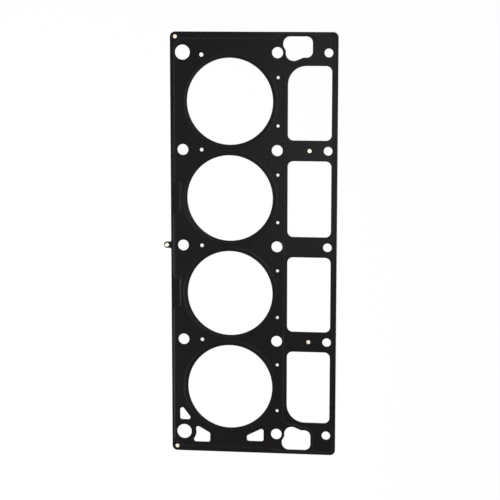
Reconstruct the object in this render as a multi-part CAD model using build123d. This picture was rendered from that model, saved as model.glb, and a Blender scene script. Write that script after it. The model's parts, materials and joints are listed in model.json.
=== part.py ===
from build123d import *
from math import degrees, sqrt
import os

# Cylinder head gasket of a small pushrod V8, one bank of four cylinders.
# Three sheets of steel lie on each other: a thick plain spacer between two thin active layers, which carry
# embossed sealing beads. Five rivets hold the stack together.
# X runs across the gasket, from the edge with the tab to the pushrod windows. Y runs along the row of
# cylinders, towards the front of the engine. Z is up, with Z = 0 on the flat underside of the lower layer.
# The origin is in the middle of the bolt grid, between the second and third cylinders.
# All lengths are millimetres, and directions are degrees from +X.

# Cylinders and bolt grid
BORE_SPACING = 111.76
BORE_DIAMETER = 99.6
HEAD_BOLT_X = 54.77
HEAD_BOLT_HOLE = 12.7
DOWEL_HOLE = 17.2
OUTER_BOLT_HOLE = 10.0

# Layers
ACTIVE_THICKNESS = 0.25
SPACER_THICKNESS = 0.8

# Outline
EDGE_MARGIN = 8.08
END_MARGIN = 23.48
CORNER_RADIUS = 6.0
TAB_WIDTH = 7.5
TAB_REACH = 4.85
TAB_ROOT_RADIUS = 1.5

# Pushrod windows, and the bolt holes beyond them
WINDOW_WIDTH = 50.3
WINDOW_BRIDGE = 5.78
WINDOW_STRIP = 7.0
WINDOW_CORNER_RADIUS = 6.5
WINDOW_END_RADIUS = 21.2
WEB_HALF_HEIGHT = 11.9
END_WEB_HALF_HEIGHT = 14.9
OUTER_BOLT_INSET = 10.9

# Coolant port at each end
PORT_WIDTH = 33.7
PORT_OVERHANG = 5.6
PORT_RIM = 5.1
PORT_NECK_WALL = 3.08
PORT_NECK_HALF_HEIGHT = 2.5
PORT_NECK_SLOPE = 5.0
PORT_LOBE_DEPTH = 9.2
PORT_LOBE_WIDTH = 10.8
PORT_SHELF_DEPTH = 5.5
PORT_SHELF_WIDTH = 10.8
PORT_INNER_RADIUS = 8.0
PORT_OUTER_RADIUS = 7.0
PORT_LOBE_RADIUS = 8.5
PORT_BLEND_RADIUS = 3.0

# Small ports at the rear end, each with a slanted side that faces the last bore
SMALL_PORT_RADIUS = 2.6
ABOVE_DOWEL_OUTSET = 5.0
ABOVE_DOWEL_WALL = 5.9
ABOVE_DOWEL_WIDTH = 14.9
ABOVE_DOWEL_HEIGHT = 19.5
BESIDE_DOWEL_WALL = 5.75
BESIDE_DOWEL_END_WALL = 11.3
BESIDE_DOWEL_RIGHT = 24.0
BESIDE_DOWEL_WIDTH = 25.0
BESIDE_DOWEL_LEFT_HEIGHT = 25.1
BESIDE_DOWEL_RIGHT_HEIGHT = 11.1
BESIDE_BOLT_WALL = 8.8
BESIDE_BOLT_END_WALL = 14.0
BESIDE_BOLT_WIDTH = 19.8
BESIDE_BOLT_LEFT_HEIGHT = 6.5
BESIDE_BOLT_RIGHT_HEIGHT = 16.6

# Small round holes
STEAM_HOLE_X = 32.9
STEAM_HOLE = 4.2
FRONT_STEAM_HOLE = 4.8
FRONT_STEAM_HOLE_OFFSET = 2.7
VENT_HOLE_X = 55.6
VENT_HOLE_OFFSET = 27.6
VENT_HOLE = 3.5

# Beads
BEAD_HEIGHT = 0.2
BEAD_WIDTH = 3.2
BEAD_CREST = 0.9
BORE_BEAD_WIDTH = 4.0
BORE_BEAD_CREST = 0.6
BORE_BEAD_INSET = 3.8
BEAD_EDGE_INSET = 3.7
BEAD_FRONT_INSET = 8.5
BEAD_REAR_INSET = 5.2
BEAD_BRIDGE_INSET = 3.4
BEAD_PORT_GAP = 2.8
BEAD_PORT_APPROACH = 8.0
BEAD_RADIUS = 5.0
JOG_BORE_WALL = 8.0
JOG_HALF_LENGTH = 17.1
JOG_SLOPE = 2.0
JOG_RADIUS = 2.4

# Rivets
RIVET_SHANK = 3.0
RIVET_CLEARANCE = 0.05
RIVET_HEAD = 4.6
RIVET_HEAD_HEIGHT = 0.35
RIVET_HEAD_ROUND = 0.22
RIVET_BEAD_GAP = 0.9
CORNER_RIVET_INSET_X = 6.0
CORNER_RIVET_INSET_Y = 5.5

# Places that follow from the sizes above
bore_radius = BORE_DIAMETER / 2
bolt_radius = HEAD_BOLT_HOLE / 2
front_row = 2 * BORE_SPACING
bolt_rows = [row * BORE_SPACING for row in (-2, -1, 0, 1, 2)]
bore_centres = [(row + 0.5) * BORE_SPACING for row in (-2, -1, 0, 1)]
half_length = front_row + END_MARGIN
left_edge = -(HEAD_BOLT_X + bolt_radius + EDGE_MARGIN)
window_left = HEAD_BOLT_X + bolt_radius + WINDOW_BRIDGE
window_right = window_left + WINDOW_WIDTH
right_edge = window_right + WINDOW_STRIP
outer_bolt_x = right_edge - OUTER_BOLT_INSET
tab_centre = left_edge - TAB_REACH
upper_layer_base = ACTIVE_THICKNESS + SPACER_THICKNESS
stack_height = upper_layer_base + ACTIVE_THICKNESS

port_left = window_left - PORT_OVERHANG
port_right = port_left + PORT_WIDTH
port_outer = half_length - PORT_RIM
port_neck = HEAD_BOLT_X + bolt_radius + PORT_NECK_WALL
port_lobe = front_row - PORT_LOBE_DEPTH
port_lobe_right = port_neck + PORT_LOBE_WIDTH
port_shelf = front_row - PORT_SHELF_DEPTH
port_shelf_left = port_right - PORT_SHELF_WIDTH

corner_rivet_x = left_edge + CORNER_RIVET_INSET_X
corner_rivet_y = half_length - CORNER_RIVET_INSET_Y
rivet_places = {
    "rivet_front_corner": (corner_rivet_x, corner_rivet_y),
    "rivet_rear_corner": (corner_rivet_x, -corner_rivet_y),
    "rivet_front_web": ((window_left + window_right) / 2, BORE_SPACING),
    "rivet_rear_web": ((window_left + window_right) / 2, -BORE_SPACING),
    "rivet_tab": (tab_centre, 0),
}


# Filled face inside a closed line of corners, with one radius for all or one for each
def rounded_face(corners, radii):
    return make_face(FilletPolyline(*corners, radius=radii, close=True))


# Plain rectangle from its left, right, lower and upper sides
def box_face(x0, x1, y0, y1):
    return Pos((x0 + x1) / 2, (y0 + y1) / 2) * Rectangle(x1 - x0, y1 - y0)


# The same points on the other side of the X axis
def mirrored(points):
    return [(x, -y) for x, y in points]


# Outline: a long plate with round corners, and a round-ended tab on the left edge
def outline():
    plate = rounded_face(
        [
            (left_edge, -half_length),
            (right_edge, -half_length),
            (right_edge, half_length),
            (left_edge, half_length),
        ],
        CORNER_RADIUS,
    )
    tab = box_face(tab_centre, left_edge + TAB_WIDTH, -TAB_WIDTH / 2, TAB_WIDTH / 2)
    tab += Pos(tab_centre, 0) * Circle(TAB_WIDTH / 2)
    shape = plate + tab
    roots = [v for v in shape.vertices() if abs(v.X - left_edge) < 0.01 and abs(v.Y) < TAB_WIDTH]
    return fillet(roots, TAB_ROOT_RADIUS)


# Window between two heights, with its own radius in the outer left corner
def window(low, high, left_radius):
    corners = [
        (window_left, high),
        (window_right, high),
        (window_right, low),
        (window_left, low),
    ]
    radii = [left_radius, WINDOW_CORNER_RADIUS, WINDOW_CORNER_RADIUS, WINDOW_CORNER_RADIUS]
    return rounded_face(corners, radii)


# Two windows in front, the outer one rounded off towards the coolant port
def front_windows():
    middle = window(WEB_HALF_HEIGHT, BORE_SPACING - WEB_HALF_HEIGHT, WINDOW_CORNER_RADIUS)
    end = window(BORE_SPACING + WEB_HALF_HEIGHT, front_row - END_WEB_HALF_HEIGHT, WINDOW_END_RADIUS)
    return [middle, end]


# Front coolant port: it necks in beside the head bolt and drops to a lobe towards the window
def front_port():
    neck_top = front_row + PORT_NECK_HALF_HEIGHT
    corners = [
        (port_left, port_outer),
        (port_left, neck_top + PORT_NECK_SLOPE),
        (port_neck, neck_top),
        (port_neck, port_lobe),
        (port_lobe_right, port_lobe),
        (port_shelf_left, port_shelf),
        (port_right, port_shelf),
        (port_right, port_outer),
    ]
    radii = [
        PORT_INNER_RADIUS,
        PORT_BLEND_RADIUS,
        PORT_BLEND_RADIUS,
        PORT_LOBE_RADIUS,
        PORT_BLEND_RADIUS,
        PORT_BLEND_RADIUS,
        PORT_OUTER_RADIUS,
        PORT_OUTER_RADIUS,
    ]
    return rounded_face(corners, radii)


# Small port with upright sides, a level floor, and a height at each side
def small_port(left, right, floor, left_height, right_height):
    return Polygon(
        (left, floor),
        (right, floor),
        (right, floor + right_height),
        (left, floor + left_height),
        align=None,
    )


# Three small ports: above the dowel hole, beside it and cut by its boss, and beside the last head bolt
def small_ports():
    dowel_radius = DOWEL_HOLE / 2
    left = -HEAD_BOLT_X - ABOVE_DOWEL_OUTSET
    floor = -front_row + dowel_radius + ABOVE_DOWEL_WALL
    above_dowel = Polygon(
        (left, floor),
        (left + ABOVE_DOWEL_WIDTH, floor),
        (left, floor + ABOVE_DOWEL_HEIGHT),
        align=None,
    )
    right = -BESIDE_DOWEL_RIGHT
    beside_dowel = small_port(
        right - BESIDE_DOWEL_WIDTH,
        right,
        -half_length + BESIDE_DOWEL_END_WALL,
        BESIDE_DOWEL_LEFT_HEIGHT,
        BESIDE_DOWEL_RIGHT_HEIGHT,
    )
    boss = Pos(-HEAD_BOLT_X, -front_row) * Circle(dowel_radius + BESIDE_DOWEL_WALL)
    beside_dowel = Sketch() + (beside_dowel - boss).faces().sort_by(SortBy.AREA)[-1]
    right = HEAD_BOLT_X - bolt_radius - BESIDE_BOLT_WALL
    beside_bolt = small_port(
        right - BESIDE_BOLT_WIDTH,
        right,
        -half_length + BESIDE_BOLT_END_WALL,
        BESIDE_BOLT_LEFT_HEIGHT,
        BESIDE_BOLT_RIGHT_HEIGHT,
    )
    return [
        fillet(port.vertices(), SMALL_PORT_RADIUS) for port in (above_dowel, beside_dowel, beside_bolt)
    ]


# All round holes, as diameter and places
def round_holes():
    dowels = [(-HEAD_BOLT_X, front_row), (-HEAD_BOLT_X, -front_row)]
    head_bolts = [(HEAD_BOLT_X, y) for y in bolt_rows] + [(-HEAD_BOLT_X, y) for y in bolt_rows[1:-1]]
    vents = [(VENT_HOLE_X, y + side * VENT_HOLE_OFFSET) for y in bore_centres for side in (-1, 1)]
    return [
        (BORE_DIAMETER, [(0, y) for y in bore_centres]),
        (HEAD_BOLT_HOLE, head_bolts),
        (DOWEL_HOLE, dowels),
        (OUTER_BOLT_HOLE, [(outer_bolt_x, y) for y in bolt_rows]),
        (STEAM_HOLE, [(-STEAM_HOLE_X, y) for y in bolt_rows[1:-1]]),
        (FRONT_STEAM_HOLE, [(-STEAM_HOLE_X, front_row - FRONT_STEAM_HOLE_OFFSET)]),
        (VENT_HOLE, vents),
        (RIVET_SHANK + 2 * RIVET_CLEARANCE, list(rivet_places.values())),
    ]


# Shape that all three layers are stamped to
def layer_face():
    face = outline()
    ends = front_windows() + [front_port()]
    cuts = ends + [mirror(cut, about=Plane.XZ) for cut in ends] + small_ports()
    for diameter, places in round_holes():
        cuts += [Pos(x, y) * Circle(diameter / 2) for x, y in places]
    return face - cuts


# Section of a bead, standing on the line it follows
def bead_section(width, crest):
    return Polygon(
        (-width / 2, 0),
        (width / 2, 0),
        (crest / 2, BEAD_HEIGHT),
        (-crest / 2, BEAD_HEIGHT),
        align=None,
    )


# Bead along a line of straight and round stretches: extruded where straight, turned where round
def bead_along(line):
    stretches = []
    for edge in line.edges():
        along = edge % 0
        across = along.cross(Vector(0, 0, -1))
        section = Plane(edge @ 0, x_dir=across, z_dir=along) * bead_section(BEAD_WIDTH, BEAD_CREST)
        if edge.geom_type == GeomType.LINE:
            stretches.append(extrude(section, amount=edge.length))
        else:
            turn = along.cross(edge % 1).Z
            axis = Axis(edge.arc_center, (0, 0, turn / abs(turn)))
            stretches.append(revolve(section, axis, degrees(edge.length / edge.radius)))
    return stretches


# Bead round each bore, wider and gentler than the others
def bore_beads():
    radius = bore_radius + BORE_BEAD_INSET
    section = Plane.XZ * Pos(radius, 0) * bead_section(BORE_BEAD_WIDTH, BORE_BEAD_CREST)
    ring = revolve(section, Axis.Z)
    return [Pos(0, y) * ring for y in bore_centres]


# How far a bead cuts off the corner behind a corner rivet, for the end line at the given height
def corner_cut(end_line):
    clear = RIVET_HEAD / 2 + BEAD_WIDTH / 2 + RIVET_BEAD_GAP
    return sqrt(2) * clear + CORNER_RIVET_INSET_X - BEAD_EDGE_INSET - (corner_rivet_y - end_line)


# Bead round the whole gasket: inside the corner rivets, drawn in beside the two middle bores, and out
# through the rim of each coolant port
def perimeter_bead():
    left = left_edge + BEAD_EDGE_INSET
    right = right_edge - WINDOW_STRIP / 2
    rim = half_length - PORT_RIM / 2
    port_side = port_left - BEAD_PORT_GAP
    approach = port_side - BEAD_PORT_APPROACH
    front = half_length - BEAD_FRONT_INSET
    rear = half_length - BEAD_REAR_INSET
    jog_x = -(bore_radius + JOG_BORE_WALL)
    jog_y = bore_centres[2]
    jog = [
        (left, jog_y - JOG_HALF_LENGTH - JOG_SLOPE),
        (jog_x, jog_y - JOG_HALF_LENGTH),
        (jog_x, jog_y + JOG_HALF_LENGTH),
        (left, jog_y + JOG_HALF_LENGTH + JOG_SLOPE),
    ]
    front_end = [
        (left, front - corner_cut(front)),
        (left + corner_cut(front), front),
        (approach, front),
        (port_side, rim),
        (right, rim),
    ]
    rear_end = mirrored(
        [
            (right, rim),
            (port_side, rim),
            (approach, rear),
            (left + corner_cut(rear), rear),
            (left, rear - corner_cut(rear)),
        ]
    )
    corners = mirrored(reversed(jog)) + jog + front_end + rear_end
    radii = [JOG_RADIUS] * (2 * len(jog)) + [BEAD_RADIUS] * (len(front_end) + len(rear_end))
    return bead_along(FilletPolyline(*corners, radius=radii, close=True))


# Bead between the cylinders and the windows, taken round the inner side of each coolant port
def bridge_bead():
    bridge = window_left - BEAD_BRIDGE_INSET
    half = [
        (port_right + BEAD_PORT_GAP, half_length - PORT_RIM / 2),
        (port_right + BEAD_PORT_GAP, port_shelf - BEAD_PORT_GAP),
        (port_shelf_left, port_shelf - BEAD_PORT_GAP),
        (port_lobe_right, port_lobe - BEAD_PORT_GAP),
        (bridge, port_lobe - BEAD_PORT_GAP),
    ]
    radii = [PORT_OUTER_RADIUS + BEAD_PORT_GAP, BEAD_RADIUS, BEAD_RADIUS, BEAD_RADIUS]
    corners = half + mirrored(reversed(half))
    return bead_along(FilletPolyline(*corners, radius=radii + radii[::-1]))


# Active layer with its beads up: they are raised on top and hollow beneath
def active_layer(face):
    beads = Part() + (bore_beads() + perimeter_bead() + bridge_bead())
    sheet = extrude(face, amount=ACTIVE_THICKNESS)
    return sheet + Pos(0, 0, ACTIVE_THICKNESS) * beads - beads


# Rivet through the stack, with a low round-edged head on each face
def rivet():
    shank = Cylinder(RIVET_SHANK / 2, stack_height, align=(Align.CENTER, Align.CENTER, Align.MIN))
    head = Cylinder(RIVET_HEAD / 2, RIVET_HEAD_HEIGHT, align=(Align.CENTER, Align.CENTER, Align.MIN))
    head = fillet(head.edges().sort_by(Axis.Z)[-1], RIVET_HEAD_ROUND)
    return shank + Pos(0, 0, stack_height) * head + mirror(head, about=Plane.XY)


def main():
    os.makedirs("parts", exist_ok=True)
    face = layer_face()
    active = active_layer(face)
    nodes = {
        "lower_active_layer": Pos(0, 0, ACTIVE_THICKNESS) * mirror(active, about=Plane.XY),
        "inner_spacer_layer": Pos(0, 0, ACTIVE_THICKNESS) * extrude(face, amount=SPACER_THICKNESS),
        "upper_active_layer": Pos(0, 0, upper_layer_base) * active,
    }
    for name, (x, y) in rivet_places.items():
        nodes[name] = Pos(x, y) * rivet()
    for name, shape in nodes.items():
        export_step(shape, f"parts/{name}.step")
        print(name, len(shape.solids()), "solid", round(shape.volume, 2), "mm3")


main()
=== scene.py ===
# %% [markdown]
# # Dressing a cylinder head gasket
#
# The frame is a measured model of one head gasket: three sheets of steel, the outer two coated black
# and embossed with sealing beads, and five small rivets. Its shapes are final. This lesson gives each
# surface its finish, lays the gasket on a white table and lights it like a catalogue picture.

# %% Load the measured model
import bpy
import json
from math import pi, radians
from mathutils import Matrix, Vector


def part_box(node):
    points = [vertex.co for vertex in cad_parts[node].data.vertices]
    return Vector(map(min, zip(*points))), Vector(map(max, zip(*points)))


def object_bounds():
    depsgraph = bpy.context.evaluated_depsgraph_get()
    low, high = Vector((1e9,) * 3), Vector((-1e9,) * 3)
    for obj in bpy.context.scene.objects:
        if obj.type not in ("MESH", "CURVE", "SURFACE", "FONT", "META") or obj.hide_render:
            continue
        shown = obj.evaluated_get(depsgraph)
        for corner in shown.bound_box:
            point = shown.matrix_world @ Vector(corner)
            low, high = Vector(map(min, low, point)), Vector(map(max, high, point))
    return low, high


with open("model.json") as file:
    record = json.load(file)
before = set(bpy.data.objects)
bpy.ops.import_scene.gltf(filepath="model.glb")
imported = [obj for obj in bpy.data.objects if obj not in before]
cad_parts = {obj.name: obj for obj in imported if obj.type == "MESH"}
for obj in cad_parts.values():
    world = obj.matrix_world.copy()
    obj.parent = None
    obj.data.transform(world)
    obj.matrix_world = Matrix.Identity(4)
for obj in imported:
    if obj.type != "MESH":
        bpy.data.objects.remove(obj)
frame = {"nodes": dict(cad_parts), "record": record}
cad_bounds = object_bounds()
nodes = frame["nodes"]
bpy.ops.object.select_all(action="DESELECT")
print("pieces:", sorted(nodes))
print("size in mm:", [round(1000 * side, 2) for side in cad_bounds[1] - cad_bounds[0]])

# %% [markdown]
# ## Heights that the finishes follow
#
# The sheets lie flat, so height alone says what a spot is: the flat of a coated sheet, the crest of a
# bead, or a cut edge. All heights are counted from the middle of the stack, because the gasket is
# alike on both faces. The steel of a coated sheet fills the room under its beads, so a sheet's flat
# is as far above the spacer as the lower sheet's top is above zero.

# %% Read the heights from the frame
spacer_low, spacer_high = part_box("inner_spacer_layer")
upper_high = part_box("upper_active_layer")[1]
sheet_thickness = spacer_low.z
middle = (spacer_low.z + spacer_high.z) / 2
spacer_half = (spacer_high.z - spacer_low.z) / 2
flat_height = spacer_half + sheet_thickness
crest_height = upper_high.z - middle
print("mm above the middle: flat", round(1000 * flat_height, 3), "crest", round(1000 * crest_height, 3))

# %% [markdown]
# ## Helpers for node materials
#
# Every finish is a small tree of nodes round one Principled shader. A few helpers keep the trees
# short. The first starts a material and the others add a node, with each input either a plain value
# or another node's output.


# %% Start a material, and add a node to it
def new_material(name):
    material = bpy.data.materials.new(name)
    material.use_nodes = True
    return material, material.node_tree, material.node_tree.nodes["Principled BSDF"]


def fill(tree, node, inputs):
    for name, value in inputs.items():
        if isinstance(value, bpy.types.NodeSocket):
            tree.links.new(value, node.inputs[name])
        else:
            node.inputs[name].default_value = value
    return node


def add_node(tree, kind, inputs, **settings):
    node = tree.nodes.new(kind)
    for name, value in settings.items():
        setattr(node, name, value)
    return fill(tree, node, inputs)


# %% [markdown]
# The other helpers are the words that the finishes are written in. A noise has a real size in metres
# and can be stretched along an axis, as rolled steel is, and turned. A step turns a value into a soft
# 0 or 1 between two edges. A blend mixes two colours or two numbers by such a step.


# %% Noise, step, blend and bump
def place(tree):
    return add_node(tree, "ShaderNodeTexCoord", {}).outputs["Object"]


def noise(tree, size, stretch=(1, 1, 1), turn=0.0, detail=3.0):
    turned = add_node(tree, "ShaderNodeMapping", {"Vector": place(tree), "Rotation": (0, 0, radians(turn))})
    scale = [1 / (size * share) for share in stretch]
    scaled = add_node(tree, "ShaderNodeMapping", {"Vector": turned.outputs[0], "Scale": scale})
    inputs = {"Vector": scaled.outputs[0], "Scale": 1.0, "Detail": detail, "Roughness": 0.6}
    return add_node(tree, "ShaderNodeTexNoise", inputs).outputs["Fac"]


def step(tree, value, edges):
    inputs = {"Value": value, "From Min": edges[0], "From Max": edges[1], "To Min": 0.0, "To Max": 1.0}
    return add_node(tree, "ShaderNodeMapRange", inputs, interpolation_type="SMOOTHSTEP").outputs[0]


def calculate(tree, operation, first, second=0.0):
    return add_node(tree, "ShaderNodeMath", {0: first, 1: second}, operation=operation).outputs[0]


def blend(tree, share, first, second):
    return add_node(tree, "ShaderNodeMix", {0: share, 2: first, 3: second}, data_type="FLOAT").outputs[0]


def blend_colour(tree, share, first, second):
    colours = [(*colour, 1) if isinstance(colour, tuple) else colour for colour in (first, second)]
    inputs = {0: share, 6: colours[0], 7: colours[1]}
    return add_node(tree, "ShaderNodeMix", inputs, data_type="RGBA").outputs[2]


def bump(tree, height, depth, under=None):
    inputs = {"Height": height, "Strength": 1.0, "Distance": depth}
    if under:
        inputs["Normal"] = under
    return add_node(tree, "ShaderNodeBump", inputs).outputs["Normal"]


# %% [markdown]
# Three more helpers find where on the gasket a spot is: its coordinate along an axis, how far it is
# from the middle of the stack, and whether it is on a cut edge, where the surface stands upright.

# %% Coordinate, height from the middle of the stack, and cut edges
UPRIGHT_EDGES = (0.7, 0.3)


def coordinate(tree, axis, vector=None):
    return add_node(tree, "ShaderNodeSeparateXYZ", {0: vector or place(tree)}).outputs[axis]


def height_from_middle(tree):
    return calculate(tree, "ABSOLUTE", calculate(tree, "SUBTRACT", coordinate(tree, "Z"), middle))


def on_cut_edge(tree):
    normal = add_node(tree, "ShaderNodeNewGeometry", {}).outputs["Normal"]
    return step(tree, calculate(tree, "ABSOLUTE", coordinate(tree, "Z", normal)), UPRIGHT_EDGES)


# %% [markdown]
# ## The coated sheets
#
# The outer sheets are spring steel with a thin black rubber coating, rolled on and baked. It is nearly
# matte. Its black is cool where the coating is thick and brownish where it is thin, in large clouds from a
# noise. A gradient along the sheet tips the clouds towards brown at the rear end, as a painted warm tint
# of the light there. From near, the coating has paler flecks of the rubber's mineral filler.

# %% Colours of the coating
COATING_THICK = (0.0048, 0.0042, 0.0056)
# The thin colour also carries the painted warm tint that grows towards the rear end.
COATING_THIN_AND_PAINTED_WARM_TINT = (0.0056, 0.0046, 0.0043)
COATING_FLECK = (0.0105, 0.0100, 0.0100)
CLOUD_SIZE = 0.055
CLOUD_EDGES = (0.38, 0.66)
# Painted warm tint: how far the clouds tip towards brown per metre towards the rear end.
PAINTED_WARM_TINT_TOWARDS_REAR = 0.45
FLECK_SIZE = 0.0003
FLECK_EDGES = (0.56, 0.68)


def coating_colour(tree):
    # Painted warm tint of the light, growing towards the rear end.
    painted_tint_drift = calculate(tree, "MULTIPLY", coordinate(tree, "Y"), -PAINTED_WARM_TINT_TOWARDS_REAR)
    clouds_and_painted_tint = calculate(tree, "ADD", noise(tree, CLOUD_SIZE, detail=4.0), painted_tint_drift)
    flecks = step(tree, noise(tree, FLECK_SIZE, detail=2.0), FLECK_EDGES)
    colour = blend_colour(tree, step(tree, clouds_and_painted_tint, CLOUD_EDGES), COATING_THICK, COATING_THIN_AND_PAINTED_WARM_TINT)
    return blend_colour(tree, flecks, colour, COATING_FLECK)


print("clouds of", 1000 * CLOUD_SIZE, "mm, flecks of", 1000 * FLECK_SIZE, "mm")

# %% [markdown]
# The crests of the outer beads are paler and a little smoother in patches. This is partly rubbing by
# stacking and handling, and partly a painted highlight along the crests. Height finds the crests and noise
# breaks the patches up. Round the cylinders the paling is cut to a small share, so those beads stay blacker
# and carry little painted highlight: the cylinders stand in a row along Y, so a coordinate that wraps
# round at their spacing gives the distance to the nearest one.

# %% Rubbed crests, partly a painted highlight
# Paler crests: partly rubbing, partly a painted highlight along the beads.
RUBBED_AND_HIGHLIT_FROM = 0.7
RUBBING_AND_HIGHLIGHT_SIZE = 0.018
RUBBING_AND_HIGHLIGHT_EDGES = (0.30, 0.60)
BORE_SPACING = 0.11176
BORE_BEAD_EDGES = (0.0560, 0.0565)
# Share of the paler crests, and so of the painted highlight, kept round the cylinders.
BORE_BEAD_RUBBING_AND_HIGHLIGHT = 0.15

rubbed_and_highlit_height = flat_height + RUBBED_AND_HIGHLIT_FROM * (crest_height - flat_height)
print("rubbed above", round(1000 * rubbed_and_highlit_height, 3), "mm from the middle")


def square(tree, value):
    return calculate(tree, "MULTIPLY", value, value)


def away_from_bores(tree):
    wrapping = {0: coordinate(tree, "Y"), 1: 0.0, 2: BORE_SPACING}
    wrapped = add_node(tree, "ShaderNodeMath", wrapping, operation="WRAP").outputs[0]
    along = calculate(tree, "SUBTRACT", wrapped, BORE_SPACING / 2)
    squares = calculate(tree, "ADD", square(tree, coordinate(tree, "X")), square(tree, along))
    away = step(tree, calculate(tree, "SQRT", squares), BORE_BEAD_EDGES)
    return blend(tree, away, BORE_BEAD_RUBBING_AND_HIGHLIGHT, 1.0)


# The mask of paler crests, which is partly a painted highlight.
def rubbed_and_highlit_crests(tree):
    crest = step(tree, height_from_middle(tree), (rubbed_and_highlit_height, crest_height))
    rubbing_and_highlight = step(tree, noise(tree, RUBBING_AND_HIGHLIGHT_SIZE, detail=4.0), RUBBING_AND_HIGHLIGHT_EDGES)
    return calculate(tree, "MULTIPLY", calculate(tree, "MULTIPLY", crest, rubbing_and_highlight), away_from_bores(tree))


# %% [markdown]
# Packing leaves a few hairlines, which run two ways. Each family is a noise stretched into fibres,
# of which only the highest peaks are kept, and a coarser noise breaks them into short lengths.

# %% Hairlines
HAIR_WIDTH = 0.00022
HAIR_STRETCH = 90
HAIR_EDGES = (0.66, 0.72)
BREAK_SIZE = 0.012
BREAK_EDGES = (0.50, 0.62)
HAIR_TURNS = (24, -61)


def hairlines(tree, turn):
    fibre = noise(tree, HAIR_WIDTH, stretch=(1, HAIR_STRETCH, 1), turn=turn, detail=1.0)
    broken = step(tree, noise(tree, BREAK_SIZE, turn=turn), BREAK_EDGES)
    return calculate(tree, "MULTIPLY", step(tree, fibre, HAIR_EDGES), broken)


print("hairlines turned by", HAIR_TURNS, "degrees")

# %% [markdown]
# Where a thin sheet is punched, the bare steel shows on its edge, scored by the punch across its
# thickness, between the two thin black lines of the coating on its faces. Scores are a noise stretched
# along Z, and the lines are found by height.

# %% Punched edge of a thin sheet
PUNCHED_STEEL = (0.24, 0.24, 0.235)
PUNCHED_STEEL_SCORED = (0.12, 0.115, 0.11)
SCORE_WIDTH = 0.00007
SCORE_STRETCH = 20
SCORE_EDGES = (0.36, 0.62)
COATING_DEPTH = 0.00003


def punch_scores(tree):
    return step(tree, noise(tree, SCORE_WIDTH, stretch=(1, 1, SCORE_STRETCH), detail=2.0), SCORE_EDGES)


def past_coating(tree, height, face, inwards):
    edges = [face + inwards * share * COATING_DEPTH for share in (1.0, 1.5)]
    return step(tree, height, edges)


def bare_between_coatings(tree):
    height = height_from_middle(tree)
    outer = past_coating(tree, height, flat_height, -1)
    inner = past_coating(tree, height, spacer_half, 1)
    return calculate(tree, "MULTIPLY", on_cut_edge(tree), calculate(tree, "MULTIPLY", outer, inner))


print("bare band in mm:", round(1000 * (sheet_thickness - 2 * COATING_DEPTH), 3))

# %% [markdown]
# The skin of the coating is like an orange peel, with the grain on top of it. Its gloss is uneven:
# faint streaks follow the strip that the sheet was punched from, and soft patches cross them. A matte
# black mirrors very little. Most of what it mirrors here is the white room, so a weak mirror keeps the
# flats black. The lamps draw the slopes of the beads, and the paler crests add a painted highlight.

# %% Rubber coating
# Paler coating of crests and hairlines; on the crests it is partly a painted highlight.
COATING_RUBBED_AND_PAINTED_HIGHLIGHT = (0.0120, 0.0115, 0.0120)
STREAK_WIDTH = 0.0016
STREAK_STRETCH = 40
PATCH_SIZE = 0.007
SMOOTH_ROUGHNESS = 0.24
MATTE_ROUGHNESS = 0.34
WEAK_MIRROR = 0.06
PEEL_SIZE = 0.0007
PEEL_DEPTH = 0.000018
GRAIN_SIZE = 0.00018
GRAIN_DEPTH = 0.000005


def coating_roughness(tree, rubbed_and_highlit):
    streaks = noise(tree, STREAK_WIDTH, stretch=(1, STREAK_STRETCH, 1))
    both = calculate(tree, "ADD", streaks, noise(tree, PATCH_SIZE))
    rough = blend(tree, calculate(tree, "MULTIPLY", both, 0.5), SMOOTH_ROUGHNESS, MATTE_ROUGHNESS)
    return blend(tree, rubbed_and_highlit, rough, SMOOTH_ROUGHNESS)


def coated_steel():
    material, tree, shader = new_material("black_rubber_coating")
    rubbed_and_highlit = rubbed_and_highlit_crests(tree)
    scratched = calculate(tree, "MAXIMUM", *[hairlines(tree, turn) for turn in HAIR_TURNS])
    worn_and_highlit = calculate(tree, "MAXIMUM", rubbed_and_highlit, scratched)
    bare = bare_between_coatings(tree)
    # Paler crests carry a painted highlight as well as rubbing; the hairlines are real scratches.
    colour = blend_colour(tree, worn_and_highlit, coating_colour(tree), COATING_RUBBED_AND_PAINTED_HIGHLIGHT)
    steel = blend_colour(tree, punch_scores(tree), PUNCHED_STEEL_SCORED, PUNCHED_STEEL)
    peel = bump(tree, noise(tree, PEEL_SIZE, detail=1.0), PEEL_DEPTH)
    inputs = {
        "Base Color": blend_colour(tree, bare, colour, steel),
        "Roughness": coating_roughness(tree, rubbed_and_highlit),
        "Metallic": bare,
        "Normal": bump(tree, noise(tree, GRAIN_SIZE, detail=2.0), GRAIN_DEPTH, under=peel),
        "Specular IOR Level": WEAK_MIRROR,
    }
    fill(tree, shader, inputs)
    return material


coating = coated_steel()
print("nodes in the coating:", len(coating.node_tree.nodes))

# %% [markdown]
# ## The spacer
#
# Only the spacer's cut edges show. A punch leaves two bands on such an edge: it shears the first part
# smooth and bright, and tears the rest, which stays dull and rough. The border between the two bands
# wanders a little, fine scores run down the sheared band, and the torn band is pitted. Oil and damp
# have left faint brown stains here and there.

# %% Bands of the spacer's edge
SHEARED_SHARE = 0.4
WANDER_SIZE = 0.0012
WANDER_REACH = 0.25 * spacer_half
BORDER_SOFTNESS = 0.2 * spacer_half


def sheared_band(tree):
    border = spacer_high.z - 2 * spacer_half * SHEARED_SHARE
    wander = calculate(tree, "MULTIPLY", noise(tree, WANDER_SIZE), WANDER_REACH)
    height = calculate(tree, "ADD", coordinate(tree, "Z"), wander)
    return step(tree, height, (border, border + BORDER_SOFTNESS))


print("sheared band in mm:", round(2000 * spacer_half * SHEARED_SHARE, 2))

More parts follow.
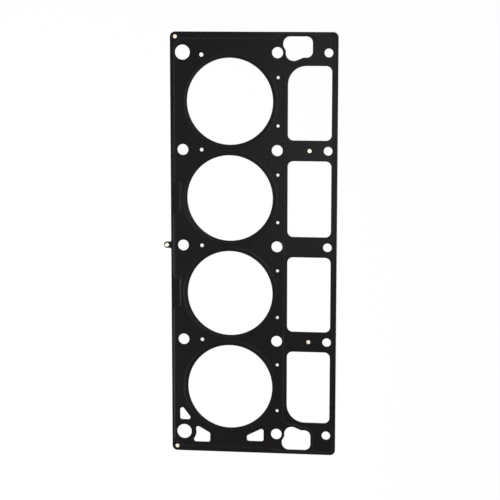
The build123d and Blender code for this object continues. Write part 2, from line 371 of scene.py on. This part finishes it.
# %% Plain punched steel
STEEL_SHEARED = (0.50, 0.495, 0.48)
STEEL_SCORED = (0.34, 0.335, 0.325)
STEEL_TORN = (0.30, 0.295, 0.285)
STEEL_PITTED = (0.17, 0.165, 0.16)
STEEL_STAINED = (0.25, 0.20, 0.15)
SHEARED_ROUGHNESS = 0.30
TORN_ROUGHNESS = 0.60
PIT_SIZE = 0.00012
PIT_EDGES = (0.36, 0.60)
PIT_DEPTH = 0.000010
STAIN_SIZE = 0.006
STAIN_EDGES = (0.50, 0.72)
STAIN_STRENGTH = 0.5


def plain_steel():
    material, tree, shader = new_material("punched_plain_steel")
    sheared = sheared_band(tree)
    scores = punch_scores(tree)
    pits = step(tree, noise(tree, PIT_SIZE, detail=3.0), PIT_EDGES)
    stains = step(tree, noise(tree, STAIN_SIZE, detail=4.0), STAIN_EDGES)
    torn_colour = blend_colour(tree, pits, STEEL_PITTED, STEEL_TORN)
    sheared_colour = blend_colour(tree, scores, STEEL_SCORED, STEEL_SHEARED)
    clean = blend_colour(tree, sheared, torn_colour, sheared_colour)
    stained = calculate(tree, "MULTIPLY", stains, STAIN_STRENGTH)
    inputs = {
        "Base Color": blend_colour(tree, stained, clean, STEEL_STAINED),
        "Roughness": blend(tree, sheared, TORN_ROUGHNESS, SHEARED_ROUGHNESS),
        "Metallic": 1.0,
        "Normal": bump(tree, blend(tree, sheared, pits, scores), PIT_DEPTH),
    }
    fill(tree, shader, inputs)
    return material


bare_edge = plain_steel()
print("nodes in the bare edge:", len(bare_edge.node_tree.nodes))

# %% [markdown]
# ## The rivets
#
# The rivets are pale brass, closed cold by a tool that rolls round the head. It leaves fine rings
# round the head's middle, with a hint of tarnish between them. A ring pattern needs its own centre,
# so each rivet gets its own copy of the finish, with its place read from the frame.

# %% Rings round the middle of a rivet
RING_SPACING = 0.00032
RING_DEPTH = 0.000006
UNEVEN_SIZE = 0.0008
UNEVEN_REACH = 0.5 * RING_SPACING


def rolled_rings(tree, centre):
    moved = {"Vector": place(tree), "Location": (-centre.x, -centre.y, 0)}
    flat = {"Vector": add_node(tree, "ShaderNodeMapping", moved).outputs[0], "Scale": (1, 1, 0)}
    spot = add_node(tree, "ShaderNodeMapping", flat).outputs[0]
    radius = add_node(tree, "ShaderNodeVectorMath", {0: spot}, operation="LENGTH").outputs["Value"]
    uneven = calculate(tree, "MULTIPLY", noise(tree, UNEVEN_SIZE), UNEVEN_REACH)
    turns = calculate(tree, "MULTIPLY", calculate(tree, "ADD", radius, uneven), 2 * pi / RING_SPACING)
    return calculate(tree, "SINE", turns)


print("rings every", 1000 * RING_SPACING, "mm")

# %% Pale brass
BRASS_BRIGHT = (0.50, 0.475, 0.375)
BRASS_TARNISHED = (0.36, 0.32, 0.22)
BRIGHT_ROUGHNESS = 0.32
TARNISHED_ROUGHNESS = 0.48
TARNISH_SIZE = 0.0014
TARNISH_EDGES = (0.48, 0.75)


def pale_brass(name):
    low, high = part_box(name)
    material, tree, shader = new_material("pale_brass_of_" + name)
    tarnish = step(tree, noise(tree, TARNISH_SIZE, detail=4.0), TARNISH_EDGES)
    inputs = {
        "Base Color": blend_colour(tree, tarnish, BRASS_BRIGHT, BRASS_TARNISHED),
        "Roughness": blend(tree, tarnish, BRIGHT_ROUGHNESS, TARNISHED_ROUGHNESS),
        "Metallic": 1.0,
        "Normal": bump(tree, rolled_rings(tree, (low + high) / 2), RING_DEPTH),
    }
    fill(tree, shader, inputs)
    return material


# %% [markdown]
# ## Every piece gets its finish
#
# The record names a material slot for each piece. The two kinds of sheet share one finish each, and
# each rivet gets its own.

# %% Give every piece its finish
slot_of = {piece["node"]: piece["material_slot"] for piece in frame["record"]["subparts"]}
finishes = {"coated_steel": coating, "bare_steel": bare_edge}
for name, piece in nodes.items():
    slot = slot_of[name]
    piece.material_slots[0].material = finishes[slot] if slot in finishes else pale_brass(name)
    print(name, "->", piece.material_slots[0].material.name)

# %% [markdown]
# ## The table
#
# The photograph is cut out on pure white. A white table lit to just under white would look grey next
# to it, so the camera sees the table mostly as a plain glow, with a share of the lit surface that
# keeps the gasket's own soft shadow. All other rays meet an ordinary white table.

# %% White table and surroundings
TABLE_SIZE = 6.0
WHITE = (1.0, 1.0, 1.0, 1.0)
GLOW_SHARE = 0.90
ROOM_LIGHT = 0.30


def seen_directly(tree):
    path = add_node(tree, "ShaderNodeLightPath", {}).outputs
    seen = calculate(tree, "MAXIMUM", path["Is Camera Ray"], path["Is Glossy Ray"])
    return calculate(tree, "MAXIMUM", seen, path["Is Transmission Ray"])


def white_table():
    material, tree, shader = new_material("white_table")
    fill(tree, shader, {"Base Color": WHITE, "Roughness": 0.9, "Specular IOR Level": 0.0})
    glow = add_node(tree, "ShaderNodeEmission", {"Color": WHITE, "Strength": 1.0})
    share = calculate(tree, "MULTIPLY", seen_directly(tree), GLOW_SHARE)
    mixed = add_node(tree, "ShaderNodeMixShader", {0: share, 1: shader.outputs[0], 2: glow.outputs[0]})
    tree.links.new(mixed.outputs[0], tree.nodes["Material Output"].inputs["Surface"])
    return material


bpy.ops.mesh.primitive_plane_add(size=TABLE_SIZE, location=(0, 0, cad_bounds[0].z))
table = bpy.context.object
table.name = "table"
table.data.materials.append(white_table())
print("table height in mm:", round(1000 * table.location.z, 3))

# %% White room that lights gently
world = bpy.data.worlds.new("white_room")
bpy.context.scene.world = world
world.use_nodes = True
room = world.node_tree
strength = blend(room, seen_directly(room), ROOM_LIGHT, 1.0)
fill(room, room.nodes["Background"], {"Color": WHITE, "Strength": strength})
print("room light:", ROOM_LIGHT)

# %% [markdown]
# ## Lamps
#
# Black on black shows only by its highlights. A long low lamp stands on the left with its long side
# along the gasket, where the left slope of each outer bead mirrors it to the camera. It is narrow, so
# the gentler beads round the cylinders catch less of it and the flats stay dark. It reaches further
# back than forward, so the beads shine more towards the rear. A small lamp beyond the front end does
# the same for the bead across that end. The third lamp hangs over the windows, near the place that
# the flats mirror, and lightens the front right of the gasket.


# %% Soft lamps
def soft_lamp(name, location, aim, size, power):
    data = bpy.data.lights.new(name, "AREA")
    data.shape = "RECTANGLE"
    data.size, data.size_y = size
    data.energy = power
    lamp = bpy.data.objects.new(name, data)
    bpy.context.scene.collection.objects.link(lamp)
    lamp.location = location
    lamp.rotation_euler = (Vector(aim) - Vector(location)).to_track_quat("-Z", "Y").to_euler()
    return lamp


soft_lamp("left_lamp", location=(-0.51, -0.34, 0.72), aim=(-0.06, -0.36, 0.0), size=(0.54, 0.10), power=5.1)
soft_lamp("front_lamp", location=(-0.20, 0.68, 1.30), aim=(0.0, 0.0, 0.0), size=(0.5, 0.3), power=3.0)
soft_lamp("top_lamp", location=(0.17, 0.02, 1.30), aim=(0.17, 0.02, 0.0), size=(0.45, 0.45), power=4.2)

# %% [markdown]
# ## The camera
#
# The picture is taken from nearly straight above with a long lens. The front end is a little larger
# than the rear end, so the camera stands slightly towards the front, and towards the windows.

# %% Camera at the photograph's angle
CAMERA_LENS = 120
CAMERA_PLACE = (0.2526, 0.3026, 1.8975)
CAMERA_TURN = (-9.124, 6.898, 0.040)

camera_data = bpy.data.cameras.new("camera")
camera_data.lens = CAMERA_LENS
camera = bpy.data.objects.new("camera", camera_data)
bpy.context.scene.collection.objects.link(camera)
camera.location = CAMERA_PLACE
camera.rotation_euler = [radians(turn) for turn in CAMERA_TURN]
bpy.context.scene.camera = camera
bpy.context.scene.view_settings.view_transform = "Standard"
print("camera height in m:", CAMERA_PLACE[2])

# %% Finish
print("done")
